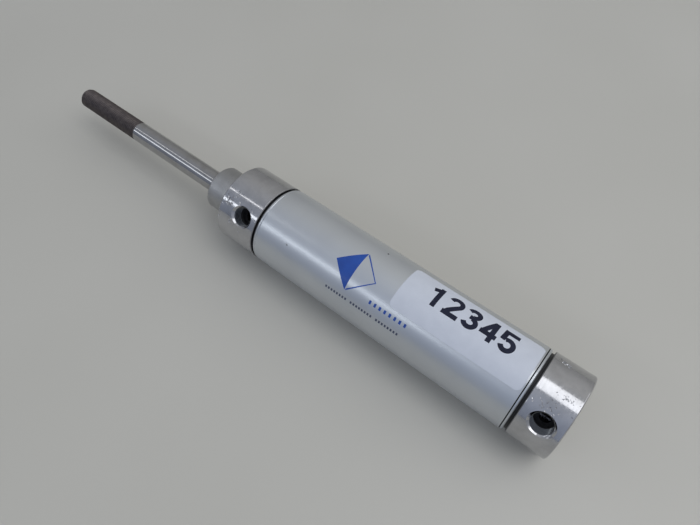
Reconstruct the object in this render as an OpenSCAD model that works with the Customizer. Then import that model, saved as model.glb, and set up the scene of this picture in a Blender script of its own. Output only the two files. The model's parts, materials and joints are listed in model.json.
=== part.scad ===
// Round-bodied, double-acting pneumatic cylinder with a smooth nose boss, a rolled
// tube, two tapped ports and a threaded rod end. Millimetres.
// Frame: the cylinder's axis is X. The origin is on that axis, at the shoulder face
// that the nose boss stands out of. The rod leaves towards -X, the rear head is at +X,
// and +Z is up with the cylinder lying on its side.

/* [Barrel] */
// Bore of the tube
bore_d = 38.1; // [37.5:0.1:41]
// Wall thickness of the tube
tube_wall = 0.8; // [0.7:0.05:1.2]
// Full travel of the piston
stroke = 101.6; // [95:0.1:150]
// How far the rod is drawn out from its fully retracted place
rod_out = 60; // [10:1:90]

/* [Heads] */
// Length of the front head's full-diameter part
front_head_l = 23.25; // [22:0.25:30]
// Length of the rear head's full-diameter part
rear_head_l = 18.35; // [17.85:0.25:24]
// Length of each head from its outer part to its inner face
spigot_l = 10.95; // [10.5:0.05:14]
// Diameter of the smooth nose boss
boss_d = 23; // [20:0.5:26]
// Length of the nose boss
boss_l = 16.1; // [16.1:0.1:20]

/* [Ports] */
// Turn of the front port from straight up, towards -Y
front_port_angle = 48.5; // [0:0.5:90]
// Turn of the rear port from straight up, towards -Y
rear_port_angle = 52; // [0:0.5:90]
// Diameter of the port's threaded wall
port_d = 10.3; // [9.8:0.1:10.6]
// Distance of the front port's axis from the front shoulder
front_port_x = 14.4; // [14:0.1:16]
// Distance of the rear port's axis from the rear face
rear_port_x = 8.7; // [8.2:0.1:9.2]

/* [Rod] */
// Diameter of the plated rod
rod_d = 11.1; // [10.6:0.1:11.3]
// Outside diameter of the rod end's thread
thread_d = 11; // [10:0.1:11]
// Length of the threaded rod end
thread_l = 47; // [30:1:60]
// Length of bare rod between the nose and the thread, as drawn
bare_rod_l = 66; // [61:1:80]

/* [Label] */
// Length of the stock label along the tube
label_l = 62.8; // [40:0.1:70]
// Half the angle that the label wraps round the tube
label_half_angle = 35.3; // [20:0.1:45]
// Radius of the label's corners
label_corner_r = 2.4; // [1:0.1:5]
// Gap between the label and the rear rolled line
label_inset = 0.9; // [0.5:0.1:5]

/* [Hidden] */
$fn = 96;

// Fits
static_fit = 0.02;      // radial gap between still parts that are fitted together
running_fit = 0.03;     // radial gap between a part and the wall that it runs on
stop_gap = 0.3;         // gap left between the piston and a bumper at each end of travel
cut = 1;                // how far a cutting shape passes the face that it opens

// Radii that the whole barrel shares
bore_r = bore_d / 2;
tube_r = bore_r + tube_wall;
spigot_r = bore_r - static_fit;
edge = 0.35;            // small chamfer on the turned edges

// The rolled joint, measured along X from the head's outer part towards the tube
lip_end = 1.35;         // the tube's lip stops here, and leaves an open ring groove
lip_flat = 1.75;        // the lip's rounded edge reaches the lip's own radius
line_start = 2.35;      // the shallow rolled line begins
line_mid = 2.6;
line_end = 2.9;
lip_inner = 2.1;        // the wall's inside starts back out to the bore
lip_inner_end = 2.7;
lip_r = tube_r - 0.1;
lip_edge_r = tube_r - 0.5;
line_r = tube_r - 0.35;
lip_in_r = bore_r - 0.55;
groove_r = lip_in_r - 0.05;

// Inside of the heads
chamber_r = 9.8;
bumper_in_r = 11.5;
bumper_out_r = 15.5;
bumper_seat = 2;        // depth of the bumper's seat in the head's inner face
bumper_proud = 1.9;
tube_seal_from = 2.4;   // distance of the O-ring groove from the head's inner face
tube_seal_w = 3.2;
tube_seal_floor_r = bore_r - 1.85;
rod_hole_r = rod_d / 2 + 0.25;
wiper_pocket_r = 8.3;
wiper_pocket_l = 3.5;
web_l = 1.2;
bushing_r = 7.6;
bushing_l = 11;
seal_pocket_r = 9;
seal_pocket_l = 6;
washer_t = 1.5;
snap_t = 1;
snap_groove_w = 1.2;
snap_groove_r = chamber_r + 0.8;
blind_wall = 5.8;       // solid metal behind the rear chamber

// The ports, measured along each port's own axis from the cylinder's axis
port_floor = 11.5;
port_passage_r = 2.6;
port_wall_top = tube_r - 0.85;

// The piston
piston_l = 13.8;
piston_r = bore_r - 0.35;
land = 1;
inner_land = 0.9;
seal_w = 3.6;
band_w = 2.8;
seal_floor_r = bore_r - 3.85;
band_floor_r = bore_r - 1.55;
tenon_d = 7.94;
tenon_out = 1.1;        // how far the rod's tail passes the locknut
o_ring_groove_w = 2.2;
o_ring_groove_r = 5.5;
washer_r = 9;
piston_washer_t = 1.6;
nut_af = 12.7;          // locknut's width across its flats
nut_hex_h = 5;
nut_collar_h = 2.5;
nut_collar_r = 5.7;
insert_r = 4.9;
insert_h = 2;

// Places along X
front_inner_x = front_head_l + spigot_l;
cavity_l = stroke + piston_l + 2 * (bumper_proud + stop_gap);
rear_inner_x = front_inner_x + cavity_l;
rear_head_x = rear_inner_x + spigot_l;
rear_face_x = rear_head_x + rear_head_l;
wiper_x = -boss_l;
web_x = wiper_x + wiper_pocket_l;
bushing_x = web_x + web_l;
rod_seal_x = bushing_x + bushing_l;
seal_washer_x = rod_seal_x + seal_pocket_l;
snap_x = seal_washer_x + washer_t;
piston_x = front_inner_x + bumper_proud + stop_gap + stroke - rod_out;
front_seal_x = piston_x + land;
band_x = front_seal_x + seal_w + inner_land;
rear_seal_x = band_x + band_w + inner_land;
o_ring_x = piston_x + piston_l / 2 - o_ring_groove_w / 2;
piston_rear_x = piston_x + piston_l;
nut_x = piston_rear_x + piston_washer_t;
nut_collar_x = nut_x + nut_hex_h;
rod_tail_x = nut_collar_x + nut_collar_h + tenon_out;
thread_x = -boss_l - bare_rod_l;
tip_x = thread_x - thread_l;
label_x1 = rear_head_x - line_mid - label_inset;
label_x0 = label_x1 - label_l;
label_t = 0.1;

// Lays a shape that was made along Z down along X
module along_x() rotate([0, 90, 0]) children();

// Turns a closed outline of [radius, place along X] points about the X axis
module turned(points) along_x() rotate_extrude() polygon(points);

// A plain ring about the X axis
module ring(x, length, inner_r, outer_r) {
    turned([[inner_r, x], [outer_r, x], [outer_r, x + length], [inner_r, x + length]]);
}

// A solid round about the X axis, to cut with
module round_cut(x, length, r) translate([x, 0, 0]) along_x() cylinder(r = r, h = length);

// An O-ring of round section, centred at x, between two walls
module o_ring(x, inner_r, outer_r) {
    section_r = (outer_r - inner_r) / 2;
    translate([x, 0, 0]) along_x() rotate_extrude()
        translate([inner_r + section_r, 0]) circle(r = section_r, $fn = 32);
}

// A U-cup lip seal: its open side faces +X when dir is 1, and -X when it is -1
module u_cup(x, length, inner_r, outer_r, dir) {
    heel = length * 0.45;
    mid_r = (inner_r + outer_r) / 2;
    lip = (outer_r - inner_r) * 0.28;
    relief = 0.15;
    points = [
        [inner_r + relief, 0], [outer_r - relief, 0], [outer_r, heel],
        [outer_r, length - relief], [outer_r - lip, length], [mid_r, heel],
        [inner_r + lip, length], [inner_r, length - relief], [inner_r, heel]
    ];
    translate([x + (dir > 0 ? 0 : length), 0, 0]) mirror([dir > 0 ? 0 : 1, 0, 0]) turned(points);
}

// Everything that a port cuts out of a head: countersink, threaded wall and air passage
module port_cut(x, angle) {
    translate([x, 0, 0]) rotate([angle, 0, 0]) {
        translate([0, 0, port_floor]) cylinder(d = port_d, h = tube_r);
        translate([0, 0, port_wall_top]) cylinder(r1 = port_d / 2, r2 = port_d / 2 + 2, h = 2);
        cylinder(r = port_passage_r, h = port_floor + cut);
    }
}

// Half of the head outline: the part that the tube is rolled onto, out to the inner face.
// x is the head's outer part and dir points from it into the tube.
function spigot_outline(x, dir) = [
    [tube_r, x - dir * edge], [tube_r - edge, x], [groove_r, x], [groove_r, x + dir * lip_inner],
    [spigot_r, x + dir * (lip_inner_end + 0.05)], [spigot_r, x + dir * spigot_l]
];

// The tube's rolled end, from its inside edge round to its full outside diameter
function lip_outline(x, dir) = [
    [bore_r, x + dir * lip_inner_end], [lip_in_r, x + dir * lip_inner], [lip_in_r, x + dir * lip_end],
    [lip_edge_r, x + dir * lip_end], [lip_r, x + dir * lip_flat], [lip_r, x + dir * line_start],
    [line_r, x + dir * line_mid], [tube_r, x + dir * line_end]
];

function reversed(list) = [for (i = [len(list) - 1 : -1 : 0]) list[i]];

module tube() {
    color("silver") turned(concat(
        lip_outline(front_head_l, 1), reversed(lip_outline(rear_head_x, -1))
    ));
}

module front_head() {
    shoulder_chamfer = 0.8;
    boss_r = boss_d / 2;
    color("gainsboro") difference() {
        turned(concat(
            [[0, -boss_l], [boss_r - shoulder_chamfer, -boss_l], [boss_r, -boss_l + shoulder_chamfer],
             [boss_r, 0], [tube_r - shoulder_chamfer, 0], [tube_r, shoulder_chamfer]],
            spigot_outline(front_head_l, 1),
            [[0, front_inner_x]]
        ));
        round_cut(-boss_l - cut, wiper_pocket_l + cut, wiper_pocket_r);
        round_cut(web_x - cut, web_l + 2 * cut, rod_hole_r);
        round_cut(bushing_x, bushing_l + cut, bushing_r);
        round_cut(rod_seal_x, seal_pocket_l + cut, seal_pocket_r);
        round_cut(seal_washer_x, front_inner_x - seal_washer_x + cut, chamber_r);
        round_cut(snap_x, snap_groove_w, snap_groove_r);
        ring(front_inner_x - bumper_seat, bumper_seat + cut, bumper_in_r, bumper_out_r);
        ring(front_inner_x - tube_seal_from - tube_seal_w, tube_seal_w, tube_seal_floor_r, tube_r);
        port_cut(front_port_x, front_port_angle);
    }
}

module rear_head() {
    end_chamfer = 0.45;
    color("gainsboro") difference() {
        turned(concat(
            [[0, rear_inner_x]],
            reversed(spigot_outline(rear_head_x, -1)),
            [[tube_r, rear_face_x - end_chamfer], [tube_r - end_chamfer, rear_face_x], [0, rear_face_x]]
        ));
        round_cut(rear_inner_x - cut, rear_face_x - blind_wall - rear_inner_x + cut, chamber_r);
        ring(rear_inner_x - cut, bumper_seat + cut, bumper_in_r, bumper_out_r);
        ring(rear_inner_x + tube_seal_from, tube_seal_w, tube_seal_floor_r, tube_r);
        port_cut(rear_face_x - rear_port_x, rear_port_angle);
    }
}

module front_tube_seal() {
    color("dimgray") o_ring(front_inner_x - tube_seal_from - tube_seal_w / 2,
        tube_seal_floor_r + static_fit, bore_r - static_fit);
}

module rear_tube_seal() {
    color("dimgray") o_ring(rear_inner_x + tube_seal_from + tube_seal_w / 2,
        tube_seal_floor_r + static_fit, bore_r - static_fit);
}

module rod_bushing() {
    color("peru") ring(bushing_x, bushing_l - static_fit, rod_d / 2 + running_fit, bushing_r - static_fit);
}

module rod_wiper() {
    // A scraper with a thin lip that leans out along the rod
    lip_l = 0.9;
    lip_t = 0.7;
    inner_r = rod_d / 2 + running_fit;
    outer_r = wiper_pocket_r - static_fit;
    body_x = wiper_x + lip_l;
    color("dimgray") turned([
        [inner_r, wiper_x + edge], [inner_r + edge, wiper_x + 0.1], [inner_r + lip_t, wiper_x + edge],
        [inner_r + 2 * lip_t, body_x], [outer_r, body_x], [outer_r, web_x - static_fit],
        [inner_r + edge, web_x - static_fit], [inner_r, body_x]
    ]);
}

module rod_seal() {
    color("black") u_cup(rod_seal_x + static_fit, seal_pocket_l - 2 * static_fit,
        rod_d / 2 + running_fit, seal_pocket_r - static_fit, 1);
}

module seal_washer() {
    color("darkgray") ring(seal_washer_x, washer_t - static_fit, rod_hole_r + edge, chamber_r - static_fit);
}

module seal_snap_ring() {
    gap_w = 5;
    inner_r = chamber_r - 1.5;
    color("darkgray") difference() {
        ring(snap_x + static_fit, snap_t, inner_r, snap_groove_r - static_fit);
        translate([snap_x - cut, -gap_w / 2, -snap_groove_r - cut])
            cube([snap_t + 2 * cut, gap_w, snap_groove_r]);
    }
}

// A bumper ring: x is the end that sits in the head, dir points towards the piston
module bumper(x, dir) {
    length = bumper_seat + bumper_proud - static_fit;
    inner_r = bumper_in_r + static_fit;
    outer_r = bumper_out_r - static_fit;
    far = x + dir * length;
    color("goldenrod") turned([
        [inner_r, x], [outer_r, x], [outer_r, far - dir * edge], [outer_r - edge, far],
        [inner_r + edge, far], [inner_r, far - dir * edge]
    ]);
}

module front_bumper() bumper(front_inner_x - bumper_seat + static_fit, 1);

module rear_bumper() bumper(rear_inner_x + bumper_seat - static_fit, -1);

module stock_label() {
    half_w = tube_r * sin(label_half_angle);
    core_l = label_l - 2 * label_corner_r;
    core_w = half_w - label_corner_r;
    color("white") intersection() {
        ring(label_x0 - cut, label_l + 2 * cut, tube_r + static_fit / 4, tube_r + label_t);
        linear_extrude(height = 2 * tube_r) union() {
            translate([label_x0, -core_w]) square([label_l, 2 * core_w]);
            translate([label_x0 + label_corner_r, -half_w]) square([core_l, 2 * half_w]);
            for (x = [label_x0 + label_corner_r, label_x1 - label_corner_r], y = [-core_w, core_w])
                translate([x, y]) circle(r = label_corner_r);
        }
    }
}

module front_piston_seal() {
    color("black") u_cup(front_seal_x + running_fit, seal_w - 2 * running_fit,
        seal_floor_r + running_fit, bore_r - running_fit, -1);
}

module rear_piston_seal() {
    color("black") u_cup(rear_seal_x + running_fit, seal_w - 2 * running_fit,
        seal_floor_r + running_fit, bore_r - running_fit, 1);
}

module wear_band() {
    color("sienna") ring(band_x + running_fit, band_w - 2 * running_fit,
        band_floor_r + running_fit, bore_r - running_fit);
}

module piston_rod() {
    rod_r = rod_d / 2;
    thread_r = thread_d / 2;
    relief_r = thread_r - 0.6;  // the thread runs out into a narrow groove
    relief_w = 0.9;
    tip_chamfer = 1.2;
    tenon_r = tenon_d / 2;
    tail_chamfer = 0.6;
    color("lightgray") turned([
        [0, tip_x], [thread_r - tip_chamfer, tip_x], [thread_r, tip_x + tip_chamfer],
        [thread_r, thread_x - relief_w], [relief_r, thread_x - relief_w], [relief_r, thread_x],
        [rod_r - edge, thread_x], [rod_r, thread_x + edge],
        [rod_r, piston_x - static_fit], [tenon_r, piston_x - static_fit],
        [tenon_r, rod_tail_x - tail_chamfer], [tenon_r - tail_chamfer, rod_tail_x], [0, rod_tail_x]
    ]);
}

module piston() {
    color("lightsteelblue") difference() {
        turned([
            [tenon_d / 2 + static_fit, piston_x], [piston_r - edge, piston_x],
            [piston_r, piston_x + edge], [piston_r, piston_rear_x - edge],
            [piston_r - edge, piston_rear_x], [tenon_d / 2 + static_fit, piston_rear_x]
        ]);
        ring(front_seal_x, seal_w, seal_floor_r, bore_r);
        ring(band_x, band_w, band_floor_r, bore_r);
        ring(rear_seal_x, seal_w, seal_floor_r, bore_r);
        round_cut(o_ring_x, o_ring_groove_w, o_ring_groove_r);
    }
}

module piston_o_ring() {
    color("dimgray") o_ring(piston_x + piston_l / 2, tenon_d / 2 + static_fit, o_ring_groove_r - static_fit);
}

module piston_washer() {
    color("darkgray") ring(piston_rear_x + static_fit, piston_washer_t - static_fit,
        tenon_d / 2 + 0.2, washer_r);
}

module piston_locknut() {
    color("silver") difference() {
        union() {
            translate([nut_x + static_fit, 0, 0]) along_x()
                cylinder(d = nut_af / cos(30), h = nut_hex_h - static_fit, $fn = 6);
            round_cut(nut_collar_x - static_fit, nut_collar_h + static_fit, nut_collar_r);
        }
        round_cut(nut_x - cut, nut_hex_h + nut_collar_h + 2 * cut, tenon_d / 2 + static_fit);
        round_cut(nut_collar_x, insert_h, insert_r);
    }
}

module locknut_insert() {
    color("royalblue") ring(nut_collar_x + static_fit, insert_h - 2 * static_fit,
        tenon_d / 2 + static_fit, insert_r - static_fit);
}

tube();
front_head();
rear_head();
front_tube_seal();
rear_tube_seal();
rod_bushing();
rod_wiper();
rod_seal();
seal_washer();
seal_snap_ring();
front_bumper();
rear_bumper();
stock_label();
front_piston_seal();
rear_piston_seal();
wear_band();
piston_rod();
piston();
piston_o_ring();
piston_washer();
piston_locknut();
locknut_insert();
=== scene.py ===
"""The looks of a round-bodied pneumatic cylinder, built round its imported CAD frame.

Lengths in the shape code are millimetres in the CAD frame: X is the cylinder's axis with the rod
towards -X, and +Z is up. A turn round the axis, psi, is measured from straight up towards -Y.
"""
import json
import math
import random

import bmesh
import bpy
from mathutils import Matrix, Vector

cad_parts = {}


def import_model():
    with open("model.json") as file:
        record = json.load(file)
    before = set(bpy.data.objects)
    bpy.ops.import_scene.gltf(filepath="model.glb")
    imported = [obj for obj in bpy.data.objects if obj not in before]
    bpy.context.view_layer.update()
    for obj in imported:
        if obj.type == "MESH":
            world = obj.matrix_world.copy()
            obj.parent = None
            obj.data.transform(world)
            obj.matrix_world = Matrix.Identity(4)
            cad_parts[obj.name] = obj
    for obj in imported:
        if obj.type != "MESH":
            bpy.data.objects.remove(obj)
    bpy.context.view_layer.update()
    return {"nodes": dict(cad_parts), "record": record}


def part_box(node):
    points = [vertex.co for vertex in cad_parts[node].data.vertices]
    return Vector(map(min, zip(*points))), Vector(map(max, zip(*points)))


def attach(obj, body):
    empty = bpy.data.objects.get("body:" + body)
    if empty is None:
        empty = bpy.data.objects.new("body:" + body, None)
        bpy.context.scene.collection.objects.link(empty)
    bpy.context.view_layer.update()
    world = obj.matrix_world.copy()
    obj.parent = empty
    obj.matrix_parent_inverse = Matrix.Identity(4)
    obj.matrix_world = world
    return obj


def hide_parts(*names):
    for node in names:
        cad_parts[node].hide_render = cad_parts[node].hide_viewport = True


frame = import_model()

MM = 0.001
TURN = 2 * math.pi
SEGMENTS = 256          # flats round a big turned part

# ---------------------------------------------------------------- sizes from the frame

def box_mm(node):
    low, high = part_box(node)
    return low / MM, high / MM


def mount(name):
    found = next(m for m in frame["record"]["mounts"] if m["name"] == name)
    return Vector(found["pos_m"]) / MM, Vector(found["axis"]).normalized()


tube_low, tube_high = box_mm("tube")
front_low, front_high = box_mm("front_head")
rear_low, rear_high = box_mm("rear_head")
rod_low, rod_high = box_mm("piston_rod")
label_low, label_high = box_mm("stock_label")

TUBE_R = tube_high.y
BORE_R = TUBE_R - 0.8
SPIGOT_R = BORE_R - 0.02
LIP_IN_R = BORE_R - 0.55
GROOVE_R = LIP_IN_R - 0.05
LIP_END = 1.35          # the open ring groove between a head and the tube's lip
FRONT_GAP_X = tube_low.x - LIP_END
REAR_GAP_X = tube_high.x + LIP_END
NOSE_X = front_low.x
FRONT_INNER_X = front_high.x
REAR_INNER_X = rear_low.x
REAR_FACE_X = rear_high.x
BOSS_R = 11.5
CHAMBER_R = 9.8
BUMPER_IN_R, BUMPER_OUT_R, BUMPER_SEAT = 11.5, 15.5, 2.0
SEAL_FROM, SEAL_W, SEAL_FLOOR_R = 2.4, 3.2, BORE_R - 1.85
PORT_R = 5.15
PORT_FLOOR = 11.5
PORT_WALL_TOP = TUBE_R - 0.85
PORT_PITCH = 25.4 / 27
PORT_THREAD_DEPTH = 0.62
PASSAGE_R = 2.6
THREAD_R = 5.5
THREAD_PITCH = 25.4 / 20
THREAD_DEPTH = 0.72
THREAD_X = mount("rod_thread")[0].x + 22.9
ROD_R = rod_high.y
TENON_R = 3.97          # the rod's thin tail, inside the piston

# Insides of the front head along X
WIPER_R, BUSHING_R, WEB_R = 8.3, 7.6, 5.8
WIPER_FLOOR_X, WEB_END_X, BUSHING_END_X = -12.6, -11.4, -0.4
SEAL_POCKET_R, SEAL_POCKET_END_X = 9.0, 5.6
SNAP_R, SNAP_FROM_X, SNAP_TO_X = CHAMBER_R + 0.8, 7.1, 8.3
BLIND_WALL = 5.8        # solid metal behind the rear head's chamber
TURNED_EDGE = 0.35      # the chamfer beside each joint

# ---------------------------------------------------------------- mesh helpers

def place(obj, body, slot, materials, replaced=()):
    """Puts a finished piece on its body, with its finish and the CAD nodes that it stands for."""
    for m in materials:
        obj.data.materials.append(m)
    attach(obj, body)
    if replaced:
        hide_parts(*replaced)
    return obj


def to_object(bm, name):
    """A Blender object, in metres, from a bmesh in millimetres."""
    bmesh.ops.recalc_face_normals(bm, faces=bm.faces)
    bmesh.ops.transform(bm, matrix=Matrix.Scale(MM, 4), verts=bm.verts)
    mesh = bpy.data.meshes.new(name)
    bm.to_mesh(mesh)
    bm.free()
    obj = bpy.data.objects.new(name, mesh)
    bpy.context.scene.collection.objects.link(obj)
    return obj


def rounded(points, steps=3):
    """An outline whose corners may carry a third number, the radius that rounds them."""
    out = []
    count = len(points)
    for i, point in enumerate(points):
        here = Vector(point[:2])
        if len(point) < 3:
            out.append((here.x, here.y))
            continue
        before = (Vector(points[i - 1][:2]) - here).normalized()
        after = (Vector(points[(i + 1) % count][:2]) - here).normalized()
        half = before.angle(after) / 2
        reach = point[2] / math.tan(half)
        centre = here + (before + after).normalized() * (point[2] / math.sin(half))
        start, end = here + before * reach - centre, here + after * reach - centre
        sweep = start.angle_signed(end)
        for k in range(steps + 1):
            spot = Matrix.Rotation(-sweep * k / steps, 2) @ start
            out.append((centre.x + spot.x, centre.y + spot.y))
    return out


def lathe(outline, segments=SEGMENTS):
    """A closed outline of (x, radius) points turned about the X axis."""
    bm = bmesh.new()
    rings = []
    for x, r in outline:
        if r < 1e-6:
            rings.append([bm.verts.new((x, 0, 0))])
            continue
        turns = [TURN * k / segments for k in range(segments)]
        rings.append([bm.verts.new((x, -r * math.sin(t), r * math.cos(t))) for t in turns])
    for a, b in zip(rings, rings[1:] + rings[:1]):
        for k in range(segments):
            nxt = (k + 1) % segments
            corners = [a[k % len(a)], a[nxt % len(a)], b[nxt % len(b)], b[k % len(b)]]
            unique = list(dict.fromkeys(corners))
            if len(unique) > 2:
                bm.faces.new(unique)
    return bm


def helix(bm, start, end, major, minor, pitch, limit=None, segments=72):
    """A closed screw thread about X from start to end, whose radius never passes limit(x)."""
    form = [(0.0, minor), (0.12, minor), (0.44, major), (0.60, major)]
    turns = int((end - start) / pitch) + 3
    rows = []
    for turn in range(-1, turns):
        for phase, radius in form:
            row = []
            for k in range(segments + 1):
                x = start + (turn + phase - k / segments) * pitch + pitch
                r = radius
                if x <= start or x >= end:
                    x = min(max(x, start), end)
                    r = minor
                if limit:
                    r = min(r, limit(x))
                t = TURN * k / segments
                row.append(bm.verts.new((x, -r * math.sin(t), r * math.cos(t))))
            rows.append(row)
    for low, high in zip(rows, rows[1:]):
        for k in range(segments):
            bm.faces.new((low[k], low[k + 1], high[k + 1], high[k]))
    bmesh.ops.remove_doubles(bm, verts=bm.verts, dist=1e-4)
    bmesh.ops.dissolve_degenerate(bm, edges=bm.edges, dist=1e-5)
    edges = [e for e in bm.edges if e.is_boundary]
    bmesh.ops.holes_fill(bm, edges=edges, sides=0)
    return bm


def carve(obj, *cutters, crossing=False):
    """Takes each cutter out of obj for good. Crossing is for a cutter that runs through itself."""
    for cutter in cutters:
        cut = obj.modifiers.new("cut", "BOOLEAN")
        cut.operation = "DIFFERENCE"
        cut.solver = "EXACT"
        cut.use_self = crossing
        cut.object = cutter
        graph = bpy.context.evaluated_depsgraph_get()
        mesh = bpy.data.meshes.new_from_object(obj.evaluated_get(graph))
        obj.modifiers.remove(cut)
        obj.data = mesh
        bpy.data.objects.remove(cutter)
    return obj


def weld(obj, apart=1e-7):
    """Joins points that cutting left a hair apart, so that the shape is closed. Metres."""
    bm = bmesh.new()
    bm.from_mesh(obj.data)
    bmesh.ops.remove_doubles(bm, verts=bm.verts, dist=apart)
    bmesh.ops.dissolve_degenerate(bm, edges=bm.edges, dist=apart)
    bm.to_mesh(obj.data)
    bm.free()
    return obj


def smooth_turned(obj, sharp=math.radians(32), near=math.radians(3)):
    """Smooth shading that is exact on the surfaces turned about X, whatever was cut into them."""
    mesh = obj.data
    ideals = {}
    for p in mesh.polygons:
        p.use_smooth = True
        n = p.normal
        spokes = [Vector((0, mesh.vertices[v].co.y, mesh.vertices[v].co.z)) for v in p.vertices]
        if all(-0.003 < spoke.length / MM - TUBE_R < 0.001 for spoke in spokes):
            ideals[p.index] = list(zip(p.loop_indices, [spoke.normalized() for spoke in spokes]))
            continue
        if abs(n.x) > 0.995:
            continue
        across = math.sqrt(max(0.0, 1 - n.x * n.x))
        found = []
        for loop in p.loop_indices:
            v = mesh.vertices[mesh.loops[loop].vertex_index].co
            radial = Vector((0, v.y, v.z))
            if radial.length < 1e-6:
                break
            radial.normalize()
            side = 1 if radial.dot(n) > 0 else -1
            ideal = Vector((n.x, 0, 0)) + radial * (side * across)
            if ideal.angle(n) > near:
                break
            found.append((loop, ideal))
        else:
            ideals[p.index] = found
    mesh.set_sharp_from_angle(angle=sharp)
    kinds = {}
    for p in mesh.polygons:
        for loop in p.loop_indices:
            kinds.setdefault(mesh.loops[loop].edge_index, set()).add(p.index in ideals)
    for edge, kind in kinds.items():
        if len(kind) == 2:
            mesh.edges[edge].use_edge_sharp = True
    normals = [Vector(n.vector) for n in mesh.corner_normals]
    for found in ideals.values():
        for loop, ideal in found:
            normals[loop] = ideal
    mesh.normals_split_custom_set([tuple(n) for n in normals])
    return obj


def port_frame(name):
    """Takes X, along a cutter's own axis, to a port's axis. The axis starts on the cylinder's own."""
    spot, out = mount(name)
    turn = Vector((1, 0, 0)).rotation_difference(out).to_matrix().to_4x4()
    return Matrix.Translation((spot.x, 0, 0)) @ turn


def port_cutters(name):
    """The threaded hole, its countersink and its air passage, as three cutters."""
    at = port_frame(name)
    tap = bmesh.new()
    helix(tap, PORT_FLOOR, PORT_WALL_TOP + 0.2, PORT_R, PORT_R - PORT_THREAD_DEPTH, PORT_PITCH)
    sink = lathe([(PORT_WALL_TOP - 0.75, 0), (PORT_WALL_TOP - 0.75, PORT_R - 0.75),
                  (PORT_WALL_TOP + 2, PORT_R + 2), (PORT_WALL_TOP + 2, 0)], 96)
    low, high = CHAMBER_R - 2, PORT_FLOOR + 0.1
    passage = lathe([(low, 0), (low, PASSAGE_R), (high, PASSAGE_R), (high, 0)], 48)
    out = []
    for bm in (tap, sink, passage):
        bmesh.ops.transform(bm, matrix=at, verts=bm.verts)
        out.append(to_object(bm, "cutter"))
    return out


def on_tube(x, psi, r=TUBE_R):
    return Vector((x, -r * math.sin(psi), r * math.cos(psi)))


def nicks(spots):
    """Small gouges: each is (x, psi in degrees, length, width, depth, lean in degrees)."""
    bm = bmesh.new()
    draw = random.Random(11)
    for x, psi, length, width, depth, lean in spots:
        turn = math.radians(psi)
        made = bmesh.ops.create_uvsphere(bm, u_segments=14, v_segments=8, radius=1)
        up = on_tube(0, turn, 1)
        along = Vector((1, 0, 0))
        axes = Matrix((along, up.cross(along), up)).transposed().to_4x4()
        size = Matrix.Diagonal((length / 2, width / 2, depth * 1.6, 1))
        spin = Matrix.Rotation(math.radians(lean), 4, "Z")
        at = Matrix.Translation(on_tube(x, turn, TUBE_R + depth * 0.6)) @ axes @ spin @ size
        for v in made["verts"]:
            v.co *= draw.uniform(0.8, 1.12)
        bmesh.ops.transform(bm, matrix=at, verts=made["verts"])
    return to_object(bm, "cutter")


def wrapped(bm, name, inner_r, outer_r, step=0.7):
    """Wraps a flat drawing round the tube and gives it thickness.

    The drawing is in X and Y, where Y is the distance round the tube from straight up towards +Y.
    """
    low = min(v.co.y for v in bm.verts)
    high = max(v.co.y for v in bm.verts)
    cuts = max(1, int((high - low) / step))
    for k in range(1, cuts):
        y = low + (high - low) * k / cuts
        geometry = bm.verts[:] + bm.edges[:] + bm.faces[:]
        bmesh.ops.bisect_plane(bm, geom=geometry, plane_co=(0, y, 0), plane_no=(0, 1, 0))
    bmesh.ops.triangulate(bm, faces=[f for f in bm.faces if len(f.verts) > 4])
    made = bmesh.ops.extrude_face_region(bm, geom=bm.faces[:])
    top = {g for g in made["geom"] if isinstance(g, bmesh.types.BMVert)}
    for v in bm.verts:
        r = outer_r if v in top else inner_r
        psi = -v.co.y / TUBE_R
        v.co = on_tube(v.co.x, psi, r)
    return to_object(bm, name)


def rounded_rectangle(bm, x0, x1, y0, y1, r, steps=8):
    """Adds one flat face with round corners."""
    spots = []
    centres = ((x1 - r, y1 - r, 0), (x0 + r, y1 - r, 90), (x0 + r, y0 + r, 180), (x1 - r, y0 + r, 270))
    for cx, cy, start in centres:
        for k in range(steps + 1):
            a = math.radians(start + 90 * k / steps)
            spots.append(bm.verts.new((cx + r * math.cos(a), cy + r * math.sin(a), 0)))
    bm.faces.new(spots)

# ---------------------------------------------------------------- materials

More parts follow.
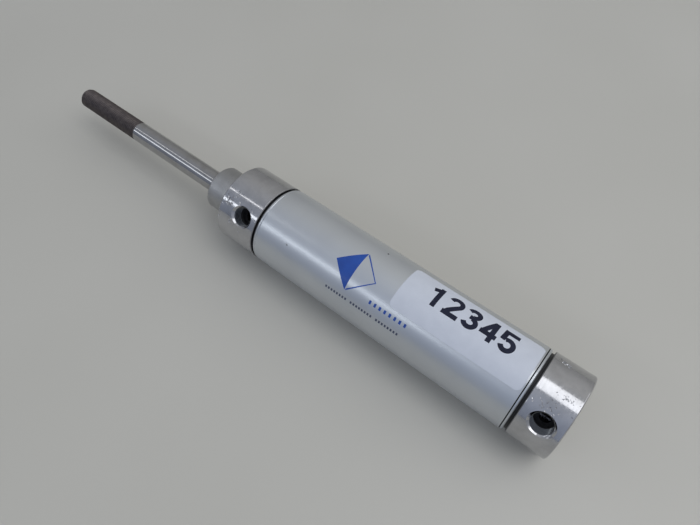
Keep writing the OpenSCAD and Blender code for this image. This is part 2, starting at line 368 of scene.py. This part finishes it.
class Graph:
    """A short way to wire a material's nodes."""

    def __init__(self, name):
        self.material = bpy.data.materials.new(name)
        self.material.use_nodes = True
        self.tree = self.material.node_tree
        self.shader = self.tree.nodes["Principled BSDF"]
        self.coords = self.tree.nodes.new("ShaderNodeTexCoord").outputs["Object"]

    def add(self, kind, inputs=None, **settings):
        node = self.tree.nodes.new("ShaderNode" + kind)
        for key, value in settings.items():
            setattr(node, key, value)
        for key, value in (inputs or {}).items():
            self.feed(node.inputs[key], value)
        return node

    def feed(self, socket, value):
        if isinstance(value, bpy.types.NodeSocket):
            self.tree.links.new(value, socket)
        else:
            socket.default_value = value

    def shade(self, **values):
        for key, value in values.items():
            self.feed(self.shader.inputs[key.replace("_", " ")], value)

    def math(self, operation, a, b=0.0, clamp=False):
        node = self.add("Math", operation=operation, use_clamp=clamp)
        self.feed(node.inputs[0], a)
        self.feed(node.inputs[1], b)
        return node.outputs[0]

    def noise(self, scale, detail=2.0, roughness=0.5, vector=None):
        node = self.add("TexNoise", {"Vector": vector or self.coords, "Scale": scale,
                                     "Detail": detail, "Roughness": roughness})
        return node.outputs["Fac"]

    def spread(self, value, low, high, from_low=0.3, from_high=0.7):
        """Stretches a noise value over a range."""
        node = self.add("MapRange", {"Value": value, "From Min": from_low, "From Max": from_high,
                                     "To Min": low, "To Max": high})
        return node.outputs["Result"]

    def blend(self, factor, a, b):
        node = self.add("Mix", data_type="RGBA")
        self.feed(node.inputs["Factor"], factor)
        self.feed(node.inputs["A"], (*a, 1) if isinstance(a, tuple) else a)
        self.feed(node.inputs["B"], (*b, 1) if isinstance(b, tuple) else b)
        return node.outputs["Result"]

    def bump(self, height, strength, distance):
        node = self.add("Bump", {"Height": height, "Strength": strength, "Distance": distance})
        self.feed(self.shader.inputs["Normal"], node.outputs["Normal"])

    def turned_place(self):
        """One number that runs along the turned shape, out along X and out along its radius."""
        axis = self.add("SeparateXYZ", {"Vector": self.coords})
        yy = self.math("MULTIPLY", axis.outputs["Y"], axis.outputs["Y"])
        zz = self.math("MULTIPLY", axis.outputs["Z"], axis.outputs["Z"])
        radius = self.math("SQRT", self.math("ADD", yy, zz))
        return self.math("ADD", axis.outputs["X"], radius)

    def lines(self, place, scale, detail=3.0):
        node = self.add("TexNoise", {"W": place, "Scale": scale, "Detail": detail}, noise_dimensions="1D")
        return node.outputs["Fac"]

    def round_axis(self):
        """Tangents that run round the X axis, as a lathe tool's marks do."""
        node = self.add("Tangent", direction_type="RADIAL", axis="X")
        self.feed(self.shader.inputs["Tangent"], node.outputs["Tangent"])


def turned_metal(name, colour, roughness, line_depth, spotting=0.05, anisotropy=0.75):
    """Bare metal from a lathe: fine lines round the axis, faint stains and handling marks."""
    g = Graph(name)
    place_along = g.turned_place()
    fine = g.lines(place_along, 9000)
    coarse = g.lines(place_along, 1400, 2)
    stains = g.noise(130, 4, 0.6)
    scuffs = g.noise(900, 3, 0.7)
    low = tuple(c * (1 - spotting * 3) for c in colour)
    tone = g.blend(g.spread(stains, 0, 1, 0.35, 0.62), low, colour)
    g.shade(Base_Color=tone, Metallic=1.0, Anisotropic=anisotropy)
    rough = g.math("ADD", g.spread(coarse, -0.05, 0.05), g.spread(scuffs, roughness - 0.03, roughness + 0.06))
    g.shade(Roughness=rough)
    g.bump(g.math("ADD", fine, g.math("MULTIPLY", scuffs, 0.4)), line_depth, 0.00004)
    g.round_axis()
    return g.material


def tube_metal():
    g = Graph("tube_satin")
    along = g.add("Mapping", {"Vector": g.coords, "Scale": (0.12, 1, 1)})
    drawn = g.noise(2600, 3, 0.6, along.outputs["Vector"])
    cloud = g.noise(45, 3)
    grit = g.noise(7000, 2, 0.6)
    tone = g.blend(g.spread(cloud, 0, 1), (0.57, 0.595, 0.625), (0.61, 0.635, 0.66))
    g.shade(Base_Color=tone, Metallic=0.85)
    g.shade(Roughness=g.math("ADD", g.spread(drawn, 0.29, 0.31), g.spread(grit, -0.01, 0.01)))
    g.bump(grit, 0.012, 0.00002)
    return g.material


def rod_chrome():
    g = Graph("rod_chrome")
    place_along = g.turned_place()
    fine = g.lines(place_along, 16000)
    wear = g.noise(160, 4, 0.65)
    tone = g.blend(g.spread(wear, 0, 1), (0.36, 0.355, 0.35), (0.44, 0.44, 0.45))
    g.shade(Base_Color=tone, Metallic=1.0, Anisotropic=0.4)
    g.shade(Roughness=g.spread(wear, 0.07, 0.13))
    g.bump(fine, 0.06, 0.00002)
    g.round_axis()
    return g.material


def dark_thread():
    g = Graph("thread_black_oxide")
    wear = g.noise(420, 4, 0.65)
    dust = g.noise(2200, 3, 0.6)
    tone = g.blend(g.spread(wear, 0, 1, 0.38, 0.68), (0.075, 0.064, 0.066), (0.125, 0.107, 0.103))
    g.shade(Base_Color=tone, Metallic=0.6, Roughness=g.spread(dust, 0.28, 0.45))
    g.bump(dust, 0.25, 0.00005)
    return g.material


def port_shadow():
    """Near-black metal: painted shade deep in a port, at the bottom of a joint's groove and in the tube's rolled
    notch; also the dark specks on the tube.
    """
    g = Graph("grime_and_painted_shade_metal")
    stain = g.noise(700, 4, 0.6)
    tone = g.blend(g.spread(stain, 0, 1), (0.008, 0.008, 0.009), (0.035, 0.035, 0.037))
    g.shade(Base_Color=tone, Metallic=0.5, Roughness=g.spread(stain, 0.35, 0.6))
    g.bump(stain, 0.2, 0.0001)
    return g.material


def soft_piece(name, low, high, roughness, grain, sheen=0.0, strength=0.25, gloss=0.5):
    """Rubber, plastic, paper or ink: a faint change of tone and a fine grain."""
    g = Graph(name)
    cloud = g.noise(grain / 12, 3)
    fine = g.noise(grain, 3, 0.6)
    g.shade(Base_Color=g.blend(g.spread(cloud, 0, 1), low, high))
    g.shade(Roughness=g.spread(fine, roughness - 0.06, roughness + 0.06), Coat_Weight=sheen,
            Specular_IOR_Level=gloss)
    g.bump(fine, strength, 0.00004)
    return g.material


HEAD_METAL = turned_metal("head_aluminium", (0.52, 0.52, 0.535), 0.10, 0.08, anisotropy=0.5)
NOSE_METAL = turned_metal("nose_aluminium", (0.43, 0.43, 0.43), 0.33, 0.05)
# Aluminium thread darkened well below the head's colour: painted shade inside the port
PORT_SHADE_METAL = turned_metal("port_thread_painted_shade", (0.13, 0.135, 0.14), 0.16, 0.06)
# Rougher aluminium whose darker colour is painted shade along the edge beside a joint's groove
SHADED_EDGE_METAL = turned_metal("dull_aluminium_painted_edge_shade", (0.26, 0.26, 0.265), 0.42, 0.1)
# Near-black: painted shade in grooves and ports, and the tube's dark specks
GRIME_AND_SHADE = port_shadow()
TUBE_METAL = tube_metal()
ROD_METAL = rod_chrome()
THREAD_METAL = dark_thread()
RUBBER = soft_piece("seal_rubber", (0.012, 0.012, 0.013), (0.022, 0.022, 0.023), 0.5, 2400)
URETHANE = soft_piece("bumper_urethane", (0.5, 0.29, 0.06), (0.58, 0.36, 0.1), 0.4, 1500)
BAND_PLASTIC = soft_piece("wear_band_plastic", (0.26, 0.13, 0.06), (0.34, 0.19, 0.09), 0.55, 3000)
NYLON = soft_piece("insert_nylon", (0.04, 0.11, 0.42), (0.06, 0.16, 0.52), 0.45, 2000)
BRONZE = turned_metal("bushing_bronze", (0.55, 0.36, 0.19), 0.35, 0.15)
PLATED_STEEL = turned_metal("plated_steel", (0.55, 0.55, 0.56), 0.3, 0.1)
PISTON_METAL = turned_metal("piston_aluminium", (0.6, 0.61, 0.63), 0.28, 0.12)
LABEL_PAPER = soft_piece("label_paper", (0.61, 0.645, 0.72), (0.645, 0.68, 0.755), 0.42, 2600, 0.15, 0.12)
BLUE_INK = soft_piece("blue_ink", (0.004, 0.055, 0.32), (0.007, 0.075, 0.40), 0.4, 2200, 0.1, 0.1)
BLACK_INK = soft_piece("black_ink", (0.010, 0.012, 0.028), (0.017, 0.02, 0.042), 0.62, 2600, 0.0, 0.1, 0.22)
FINE_INK = soft_piece("fine_print_ink", (0.05, 0.06, 0.11), (0.07, 0.085, 0.14), 0.5, 2600, 0.0, 0.1)

# ---------------------------------------------------------------- pieces

def joint_outline(x, side):
    """A head's outline where the tube is rolled onto it; side points into the tube."""
    return [
        (x - side * TURNED_EDGE, TUBE_R, 0.25), (x, TUBE_R - TURNED_EDGE, 0.15), (x, GROOVE_R),
        (x + side * 2.1, GROOVE_R),
        (x + side * 2.75, SPIGOT_R)
    ]


def seal_groove(x_from, x_to):
    return [(x_from, SPIGOT_R), (x_from, SEAL_FLOOR_R), (x_to, SEAL_FLOOR_R), (x_to, SPIGOT_R)]


def finish_where(obj, test, material):
    """Gives another material to the faces whose middle passes the test, in millimetres."""
    obj.data.materials.append(material)
    last = len(obj.data.materials) - 1
    for p in obj.data.polygons:
        if test(p.center / MM):
            p.material_index = last


def radius_of(c):
    return math.hypot(c.y, c.z)


def in_port(name, c, past=0.0):
    """Is a point inside a port's hole?"""
    spot, out = mount(name)
    d = c - Vector((spot.x, 0, 0))
    depth = d.dot(out)
    return CHAMBER_R - 1 < depth < PORT_WALL_TOP - past and (d - out * depth).length < PORT_R + 0.02


def joint_and_port_finish(obj, gap_x, side, port, shade_from):
    """A dull edge darkened as painted shade, a groove floor painted near-black as shade, and a port whose thread
    is darkened as painted shade and turns near-black, also painted shade, as it goes down.

    Side points from the head's outer part into the tube. The last argument is the depth in the port where the
    painted near-black shade begins.
    """
    def past_gap(c, reach):
        return (c.x - gap_x) * side > -reach

    # The chamfer beside the groove is rougher, and it is darker as painted shade
    finish_where(obj, lambda c: past_gap(c, 0.33) and TUBE_R - 0.4 < radius_of(c) < TUBE_R - 0.03, SHADED_EDGE_METAL)
    # Painted shade: the groove's floor and the deep part of the port are painted near-black
    finish_where(obj, lambda c: past_gap(c, 0.05) and radius_of(c) < TUBE_R - 0.4
                 or in_port(port, c, shade_from), GRIME_AND_SHADE)
    # Painted shade: the port's thread wall near the mouth is darkened
    finish_where(obj, lambda c: in_port(port, c, 0.35) and not in_port(port, c, shade_from), PORT_SHADE_METAL)


def front_head():
    outline = rounded([
        (NOSE_X, WIPER_R), (NOSE_X, BOSS_R - 0.8, 0.3), (NOSE_X + 0.8, BOSS_R, 0.5), (0, BOSS_R, 0.25),
        (0, TUBE_R - 0.8, 0.35), (0.8, TUBE_R, 0.5)]
        + joint_outline(FRONT_GAP_X, 1)
        + seal_groove(FRONT_INNER_X - SEAL_FROM - SEAL_W, FRONT_INNER_X - SEAL_FROM)
        + [(FRONT_INNER_X, SPIGOT_R), (FRONT_INNER_X, BUMPER_OUT_R),
           (FRONT_INNER_X - BUMPER_SEAT, BUMPER_OUT_R), (FRONT_INNER_X - BUMPER_SEAT, BUMPER_IN_R),
           (FRONT_INNER_X, BUMPER_IN_R), (FRONT_INNER_X, CHAMBER_R)]
        + [(SNAP_TO_X, CHAMBER_R), (SNAP_TO_X, SNAP_R), (SNAP_FROM_X, SNAP_R), (SNAP_FROM_X, CHAMBER_R),
           (SEAL_POCKET_END_X, CHAMBER_R), (SEAL_POCKET_END_X, SEAL_POCKET_R),
           (BUSHING_END_X, SEAL_POCKET_R), (BUSHING_END_X, BUSHING_R), (WEB_END_X, BUSHING_R),
           (WEB_END_X, WEB_R), (WIPER_FLOOR_X, WEB_R), (WIPER_FLOOR_X, WIPER_R)])
    obj = to_object(lathe(outline), "front_head_turned")
    carve(obj, nicks(FRONT_NICKS), crossing=True)
    carve(obj, *port_cutters("front_port"))
    weld(obj)
    obj.data.materials.append(HEAD_METAL)
    finish_where(obj, lambda c: c.x < 0.02, NOSE_METAL)
    joint_and_port_finish(obj, FRONT_GAP_X, 1, "front_port", 5.2)
    smooth_turned(obj)
    return place(obj, "barrel", "head_aluminium", [], ["front_head"])


def rear_head():
    floor_x = REAR_FACE_X - BLIND_WALL
    outline = rounded([(floor_x, 0), (floor_x, CHAMBER_R), (REAR_INNER_X, CHAMBER_R),
                       (REAR_INNER_X, BUMPER_IN_R), (REAR_INNER_X + BUMPER_SEAT, BUMPER_IN_R),
                       (REAR_INNER_X + BUMPER_SEAT, BUMPER_OUT_R), (REAR_INNER_X, BUMPER_OUT_R),
                       (REAR_INNER_X, SPIGOT_R)]
                      + seal_groove(REAR_INNER_X + SEAL_FROM, REAR_INNER_X + SEAL_FROM + SEAL_W)
                      + joint_outline(REAR_GAP_X, -1)[::-1]
                      + [(REAR_FACE_X - 0.45, TUBE_R, 0.3), (REAR_FACE_X, TUBE_R - 0.45, 0.3), (REAR_FACE_X, 0)])
    obj = to_object(lathe(outline), "rear_head_turned")
    carve(obj, nicks(REAR_NICKS), crossing=True)
    carve(obj, *port_cutters("rear_port"))
    weld(obj)
    obj.data.materials.append(HEAD_METAL)
    joint_and_port_finish(obj, REAR_GAP_X, -1, "rear_port", 6.5)
    smooth_turned(obj)
    return place(obj, "barrel", "head_aluminium", [], ["rear_head"])


def tube():
    def lip(x, side, end):
        return [
            (x + side * 2.7, BORE_R), (x + side * 2.1, LIP_IN_R), (x + side * end, LIP_IN_R),
            (x + side * end, TUBE_R - 0.5), (x + side * 1.75, TUBE_R - 0.1, 0.3),
            (x + side * 2.35, TUBE_R - 0.1), (x + side * 2.6, TUBE_R - 0.35), (x + side * 2.9, TUBE_R, 0.2)
        ]
    outline = rounded(lip(FRONT_GAP_X, 1, 1.15) + lip(REAR_GAP_X, -1, LIP_END)[::-1])
    obj = to_object(lathe(outline), "tube_rolled")
    carve(obj, nicks([(42.6, 44, 1.1, 0.8, 0.3, 35)]))
    obj.data.materials.append(TUBE_METAL)
    # Painted shade: the small rolled notch in the tube's outside next to the rear groove is painted near-black
    finish_where(obj, lambda c: -3.2 < c.x - REAR_GAP_X < -2.1
                 and BORE_R + 0.1 < radius_of(c) < TUBE_R - 0.12, GRIME_AND_SHADE)
    smooth_turned(obj)
    return place(obj, "barrel", "tube_steel", [], ["tube"])


def rod():
    tail_x = rod_high.x
    shoulder_x = box_mm("piston")[0].x - 0.02
    outline = rounded([(THREAD_X, 0), (THREAD_X, ROD_R - 0.35, 0.1), (THREAD_X + 0.35, ROD_R, 0.2),
                       (shoulder_x, ROD_R), (shoulder_x, TENON_R), (tail_x - 0.6, TENON_R),
                       (tail_x, TENON_R - 0.6), (tail_x, 0)])
    shaft = to_object(lathe(outline, 128), "rod_polished")
    smooth_turned(shaft)
    place(shaft, "rod", "rod_chrome", [ROD_METAL], ["piston_rod"])
    tip = rod_low.x

    def tip_limit(x):
        return min(THREAD_R, THREAD_R - 1.35 + 1.1 * max(0.0, x - tip))

    thread = helix(bmesh.new(), tip, THREAD_X - 0.01, THREAD_R, THREAD_R - THREAD_DEPTH, THREAD_PITCH,
                   tip_limit, 96)
    screw = to_object(thread, "rod_thread")
    smooth_turned(screw, math.radians(50))
    return place(screw, "rod", "thread_dark", [THREAD_METAL], ["piston_rod"])


def label():
    half = TUBE_R * math.asin(label_high.y / TUBE_R)
    bm = bmesh.new()
    rounded_rectangle(bm, label_low.x, label_high.x, -half, half, 2.4)
    obj = wrapped(bm, "label_sheet", TUBE_R + 0.005, TUBE_R + 0.085)
    smooth_turned(obj)
    return place(obj, "barrel", "label_paper", [LABEL_PAPER], ["stock_label"])


def stroke(points, width, name):
    """A flat band of a given width along a path, as a prism 1 mm high."""
    path = [Vector(p).to_3d() for p in points]
    bm = bmesh.new()
    sides = []
    for k, p in enumerate(path):
        before = (p - path[k - 1]).normalized() if k else None
        after = (path[k + 1] - p).normalized() if k + 1 < len(path) else None
        before, after = before or after, after or before
        across = Vector((-before.y, before.x, 0)) + Vector((-after.y, after.x, 0))
        across = across / (1 + before.dot(after)) * width / 2
        sides.append((p + across, p - across))
    rim = [left for left, _ in sides] + [right for _, right in reversed(sides)]
    low = [bm.verts.new(p) for p in rim]
    high = [bm.verts.new(p + Vector((0, 0, 1))) for p in rim]
    last = len(path) - 1
    count = len(rim)
    for k in range(last):
        m = count - 1 - k
        bm.faces.new((high[m], high[m - 1], high[k + 1], high[k]))
        bm.faces.new((low[k], low[k + 1], low[m - 1], low[m]))
    for k in range(count):
        n = (k + 1) % count
        bm.faces.new((low[k], high[k], high[n], low[n]))
    bmesh.ops.recalc_face_normals(bm, faces=bm.faces)
    mesh = bpy.data.meshes.new(name)
    bm.to_mesh(mesh)
    bm.free()
    obj = bpy.data.objects.new(name, mesh)
    bpy.context.scene.collection.objects.link(obj)
    return obj


def arc(x, y, rx, ry, start, end, steps=28):
    """Points on an ellipse, from one angle in degrees to another."""
    angles = (math.radians(start + (end - start) * k / steps) for k in range(steps + 1))
    return [(x + rx * math.cos(a), y + ry * math.sin(a)) for a in angles]


def figure_strokes(digit, tall, bold):
    """The paths of a plain upright figure that stands on y = 0."""
    h = bold / 2
    wide = tall * 0.66
    top = tall - h
    if digit == 1:
        return [[(wide * 0.58, 0), (wide * 0.58, tall)],
                [(wide * 0.12, tall * 0.74), (wide * 0.60, tall * 0.86)]]
    if digit == 2:
        bowl = arc(wide / 2, tall * 0.70, wide / 2 - h, tall * 0.30 - h, 170, -28)
        return [bowl + [(wide * 0.30, tall * 0.24), (h * 1.2, h)], [(0, h), (wide, h)]]
    if digit == 3:
        return [arc(wide / 2, tall * 0.735, wide / 2 - h * 1.15, tall * 0.265 - h, 165, -88),
                arc(wide / 2, tall * 0.29, wide / 2 - h, tall * 0.29 - h, 88, -165),
                [(wide * 0.34, tall * 0.53), (wide * 0.56, tall * 0.53)]]
    if digit == 4:
        return [[(wide * 0.70, 0), (wide * 0.70, tall)], [(0, tall * 0.30), (wide, tall * 0.30)],
                [(h * 0.9, tall * 0.27), (wide * 0.66, tall - h * 0.6)]]
    return [[(wide * 0.12, top), (wide * 0.92, top)], [(wide * 0.17, tall), (wide * 0.11, tall * 0.46)],
            arc(wide / 2, tall * 0.33, wide / 2 - h, tall * 0.33 - h, 128, -160)]


def label_number():
    """A plain counting number in place of the stock number, in bold figures."""
    first, last = 109.2, 152.2
    top, foot = 25.2, -7.0
    count, bold = 5, 2.2
    pitch = (last - first) / count
    tall = math.radians(top - foot) * TUBE_R
    for k in range(count):
        paths = figure_strokes(k + 1, tall, bold)
        parts = [stroke(points, bold, f"stroke_{i}") for i, points in enumerate(paths)]
        whole = parts[0]
        for extra in parts[1:]:
            join = whole.modifiers.new("join", "BOOLEAN")
            join.operation, join.solver, join.object = "UNION", "EXACT", extra
        graph = bpy.context.evaluated_depsgraph_get()
        mesh = bpy.data.meshes.new_from_object(whole.evaluated_get(graph))
        for part in parts:
            bpy.data.objects.remove(part)
        bm = bmesh.new()
        bm.from_mesh(mesh)
        bpy.data.meshes.remove(mesh)
        bmesh.ops.delete(bm, geom=[f for f in bm.faces if f.normal.z < 0.5], context="FACES")
        middle = first + pitch * (k + 0.5) - tall * 0.33
        foot_y = math.radians(foot) * TUBE_R
        for v in bm.verts:
            v.co = Vector((middle + v.co.x, foot_y + v.co.y, 0))
        obj = wrapped(bm, f"label_figure_{k + 1}", TUBE_R + 0.08, TUBE_R + 0.095)
        smooth_turned(obj)
        place(obj, "barrel", "print_black", [BLACK_INK])


def printed(name, shapes, material, slot):
    """Ink on the tube. Each shape is a closed list of (x, psi in degrees) corners."""
    bm = bmesh.new()
    for shape in shapes:
        bm.faces.new([bm.verts.new((x, -math.radians(psi) * TUBE_R, 0)) for x, psi in shape])
    bmesh.ops.recalc_face_normals(bm, faces=bm.faces)
    obj = wrapped(bm, name, TUBE_R + 0.005, TUBE_R + 0.02)
    smooth_turned(obj)
    return place(obj, "barrel", slot, [material])


def speck(x, psi, r):
    spots = (TURN * k / 10 for k in range(10))
    return [(x + r * math.cos(a), psi + math.degrees(r * math.sin(a) / TUBE_R)) for a in spots]


def block(x0, x1, psi0, psi1):
    return [(x0, psi0), (x1, psi0), (x1, psi1), (x0, psi1)]


FRONT_NICKS = []
REAR_NICKS = []


def nick_places():
    """Wrench marks: short gouges scattered round each port and along the heads' edges."""
    draw = random.Random(7)

    def scatter(centre_x, centre_psi, spread_x, spread_psi, count, size, depth=0.2):
        for _ in range(count):
            yield (centre_x + draw.gauss(0, spread_x), centre_psi + draw.gauss(0, spread_psi),
                   size * draw.uniform(0.6, 1.7), size * draw.uniform(0.35, 0.8),
                   depth * draw.uniform(0.5, 1.2), draw.uniform(-80, 80))
    FRONT_NICKS.extend(scatter(4.6, 38, 2.2, 5, 34, 1.25, 0.34))
    FRONT_NICKS.extend(scatter(6.0, 21.5, 2.6, 2.4, 22, 1.15, 0.3))
    FRONT_NICKS.extend(scatter(18, 38, 2.2, 5, 14, 0.9, 0.22))
    FRONT_NICKS.extend(scatter(9, 66, 4, 5, 12, 0.95, 0.22))
    FRONT_NICKS.extend(scatter(12, 190, 5, 60, 10, 0.8))
    REAR_NICKS.extend(scatter(170, -31, 1.3, 3, 9, 1.7, 0.42))
    REAR_NICKS.extend(scatter(177, 12, 2.8, 3.5, 30, 0.62, 0.15))
    REAR_NICKS.extend(scatter(173, 30, 3.5, 4.5, 26, 0.9, 0.2))
    REAR_NICKS.extend(scatter(175, 190, 4, 60, 10, 0.8))


nick_places()
front_head()
rear_head()
tube()
rod()
label()
label_number()

# A plain lozenge, half filled, with rows of blank bars where the words would be
LEFT, MIDDLE, RIGHT = 67.4, 78.0, 89.2
TOP, WAIST, FOOT = -7, 22, 51
IN = 0.6
IN_TURN = 2.6
printed("tube_lozenge", [
    [(MIDDLE, TOP), (MIDDLE, FOOT), (LEFT, WAIST)],
    [(MIDDLE + 0.4, TOP), (RIGHT, WAIST), (RIGHT - IN, WAIST), (MIDDLE + 0.4, TOP + IN_TURN)],
    [(MIDDLE + 0.4, FOOT - IN_TURN), (RIGHT - IN, WAIST), (RIGHT, WAIST), (MIDDLE + 0.4, FOOT)]
], BLUE_INK, "print_blue")
BAR_STEP, DASH_STEP = 2.62, 1.55
bars = [block(90.7 + k * BAR_STEP, 91.8 + k * BAR_STEP, 43, 48) for k in range(8)]
printed("tube_bars", bars, BLUE_INK, "print_blue")
dashes = [block(68.8 + k * DASH_STEP, 69.7 + k * DASH_STEP, 59.8, 63.2) for k in range(27) if k % 9 != 8]
printed("tube_dashes", dashes, FINE_INK, "print_black")
printed("tube_specks", [speck(83.9, -26.6, 0.42), speck(43.1, 44.4, 0.3)], GRIME_AND_SHADE, "print_black")

KEPT = {
    "front_tube_seal": RUBBER, "rear_tube_seal": RUBBER, "rod_bushing": BRONZE, "rod_wiper": RUBBER,
    "rod_seal": RUBBER, "seal_washer": PLATED_STEEL, "seal_snap_ring": PLATED_STEEL, "front_bumper": URETHANE,
    "rear_bumper": URETHANE, "front_piston_seal": RUBBER, "rear_piston_seal": RUBBER,
    "wear_band": BAND_PLASTIC, "piston": PISTON_METAL, "piston_o_ring": RUBBER, "piston_washer": PLATED_STEEL,
    "piston_locknut": PLATED_STEEL, "locknut_insert": NYLON
}
for node, material in KEPT.items():
    slots = frame["nodes"][node].data.materials
    slots.clear()
    slots.append(material)

# ---------------------------------------------------------------- floor, light and camera

FLOOR_Z = -TUBE_R


def floor():
    bm = bmesh.new()
    bmesh.ops.create_grid(bm, x_segments=1, y_segments=1, size=12000)
    for v in bm.verts:
        v.co.z = FLOOR_Z
    obj = to_object(bm, "floor")
    g = Graph("floor_laminate")
    speckle = g.noise(1500, 3, 0.6)
    cloud = g.noise(7, 2)
    tone = g.blend(g.spread(cloud, 0, 1), (0.532, 0.518, 0.468), (0.557, 0.542, 0.493))
    g.shade(Base_Color=tone, Roughness=g.spread(speckle, 0.42, 0.5))
    g.bump(speckle, 0.05, 0.00005)
    obj.data.materials.append(g.material)


def area_light(name, middle, facing, width, height, radiance, colour=(1, 1, 1)):
    """A rectangle of light, in metres, whose long side runs along X as far as its facing allows."""
    data = bpy.data.lights.new(name, "AREA")
    data.shape = "RECTANGLE"
    data.size, data.size_y = width, height
    data.energy = radiance * math.pi * width * height
    data.color = colour
    obj = bpy.data.objects.new(name, data)
    bpy.context.scene.collection.objects.link(obj)
    back = (Vector(middle) - Vector(facing)).normalized()
    side = (Vector((1, 0, 0)) - back * back.x).normalized()
    turn = Matrix((side, back.cross(side), back)).transposed().to_4x4()
    obj.matrix_world = Matrix.Translation(middle) @ turn


def world():
    """A dim room: darker low down and past the rod, cooler on the camera's side."""
    scene = bpy.context.scene
    scene.world = bpy.data.worlds.new("studio")
    scene.world.use_nodes = True
    tree = scene.world.node_tree

    def node(kind, inputs, **settings):
        made = tree.nodes.new("ShaderNode" + kind)
        for key, value in settings.items():
            setattr(made, key, value)
        for key, value in inputs.items():
            if isinstance(value, bpy.types.NodeSocket):
                tree.links.new(value, made.inputs[key])
            else:
                made.inputs[key].default_value = value
        return made

    coords = tree.nodes.new("ShaderNodeTexCoord")
    way = node("SeparateXYZ", {"Vector": coords.outputs["Generated"]}).outputs
    lift = node("MapRange", {"Value": way["Z"], "From Min": 0.0, "From Max": 0.85, "To Min": 0.62,
                             "To Max": 1.0}).outputs["Result"]
    along = node("MapRange", {"Value": way["X"], "From Min": -0.62, "From Max": -0.3, "To Min": 0.82,
                              "To Max": 1.0}, interpolation_type="SMOOTHSTEP").outputs["Result"]
    level = node("Math", {0: lift, 1: along}, operation="MULTIPLY").outputs[0]
    back = node("MapRange", {"Value": way["Y"], "From Min": -0.9, "From Max": 0.6}).outputs["Result"]
    tint = node("Mix", {"Factor": back, "A": (0.435, 0.485, 0.60, 1), "B": (0.55, 0.555, 0.555, 1)},
                data_type="RGBA").outputs["Result"]
    background = tree.nodes["Background"]
    tree.links.new(tint, background.inputs["Color"])
    tree.links.new(level, background.inputs["Strength"])


def camera():
    data = bpy.data.cameras.new("camera")
    data.sensor_width = 36
    data.lens = 29.7
    data.clip_start = 0.01
    obj = bpy.data.objects.new("camera", data)
    bpy.context.scene.collection.objects.link(obj)
    obj.location = Vector((161.8, -116.84, 229.6)) * MM
    azimuth, elevation = math.radians(38.45), math.radians(56.1)
    level = math.cos(elevation)
    back = Vector((math.sin(azimuth) * level, -math.cos(azimuth) * level, math.sin(elevation)))
    obj.rotation_euler = back.to_track_quat("Z", "Y").to_euler()
    bpy.context.scene.camera = obj


floor()
world()
area_light("overhead", (0.74, 0.10, 1.1), (0.74, 0.10, 0), 1.30, 0.58, 1.3, (0.97, 0.98, 1))
area_light("fill", (1.25, 0.75, 1.2), (0.05, 0, 0), 1.5, 1.5, 0.8, (0.97, 0.98, 1))
area_light("key", (-0.75, -0.875, 0.71), (-0.3, 0, 0), 1.5, 0.15, 1.85, (0.92, 0.96, 1))
area_light("strip", (-1.05, -0.30, 0.97), (-0.1, 0, 0), 1.0, 0.06, 1.9)
camera()
bpy.context.scene.view_settings.view_transform = "Standard"
